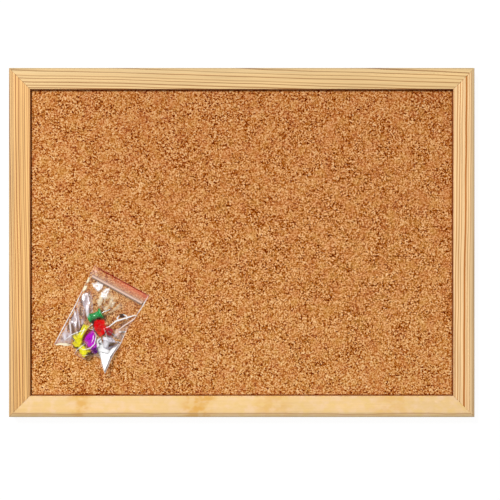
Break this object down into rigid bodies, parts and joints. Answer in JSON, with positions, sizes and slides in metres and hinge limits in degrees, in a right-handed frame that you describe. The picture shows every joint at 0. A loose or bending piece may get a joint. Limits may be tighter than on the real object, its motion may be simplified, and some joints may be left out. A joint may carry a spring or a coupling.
{
  "type": "framed cork pin board",
  "caption": "Rectangular cork notice board in a mitred pine frame, with toothed hangers behind and a small clear press-to-close bag of coloured push pins lying loose on its face.",
  "frame": {"origin": "centre of the board's outline on the plane of the rails' back faces, on which the board lies", "axes": "+X along the board's length to the right, +Y towards the rail that is at the top when it hangs, +Z out of the cork face"},
  "size_m": [0.4, 0.3, 0.0238],
  "materials": {
    "pine": "planed pale pine, thin satin sealer",
    "cork": "fine granulated cork, matt",
    "softboard": "raw soft fibreboard",
    "hardboard": "brown hardboard, mesh side out",
    "steel": "bright zinc-plated steel",
    "film": "clear soft plastic film",
    "zip": "milky soft plastic",
    "grip_red": "red soft plastic line",
    "pin_green": "moulded gloss plastic",
    "pin_red": "moulded gloss plastic",
    "pin_magenta": "moulded gloss plastic",
    "pin_white": "moulded gloss plastic",
    "pin_yellow": "moulded gloss plastic",
    "needle": "polished plated steel"
  },
  "bodies": {
    "board": {"bottom_rail": "pine", "right_rail": "pine", "top_rail": "pine", "left_rail": "pine", "cork_sheet": "cork", "softboard_core": "softboard", "hardboard_back": "hardboard", "bottom_rail_corner_wedge": "steel", "right_rail_corner_wedge": "steel", "top_rail_corner_wedge": "steel", "left_rail_corner_wedge": "steel", "bottom_panel_point_1": "steel", "bottom_panel_point_2": "steel", "bottom_panel_point_3": "steel", "right_panel_point_1": "steel", "right_panel_point_2": "steel", "top_panel_point_1": "steel", "top_panel_point_2": "steel", "top_panel_point_3": "steel", "left_panel_point_1": "steel", "left_panel_point_2": "steel", "left_hanger": "steel", "left_hanger_nail_1": "steel", "left_hanger_nail_2": "steel", "right_hanger": "steel", "right_hanger_nail_1": "steel", "right_hanger_nail_2": "steel"},
    "pin_bag": {"bag_back_film": "film", "bag_front_film": "film", "bag_zip_channel": "zip", "bag_zip_rib": "zip", "bag_grip_line": "grip_red"},
    "loose_pins": {"green_pin_head": "pin_green", "green_pin_needle": "needle", "red_pin_head": "pin_red", "red_pin_needle": "needle", "magenta_pin_head": "pin_magenta", "magenta_pin_needle": "needle", "white_pin_head": "pin_white", "white_pin_needle": "needle", "yellow_pin_head": "pin_yellow", "yellow_pin_needle": "needle", "second_yellow_pin_head": "pin_yellow", "second_yellow_pin_needle": "needle"}
  },
  "joints": [
    {"name": "bag_lift", "type": "slide", "parent": "board", "child": "pin_bag", "axis": [0, 0, 1], "range_m": [0, 0.06]},
    {"name": "pins_shift", "type": "slide", "parent": "pin_bag", "child": "loose_pins", "axis": [0.4772, 0.8788, 0], "range_m": [0, 0.005]}
  ]
}
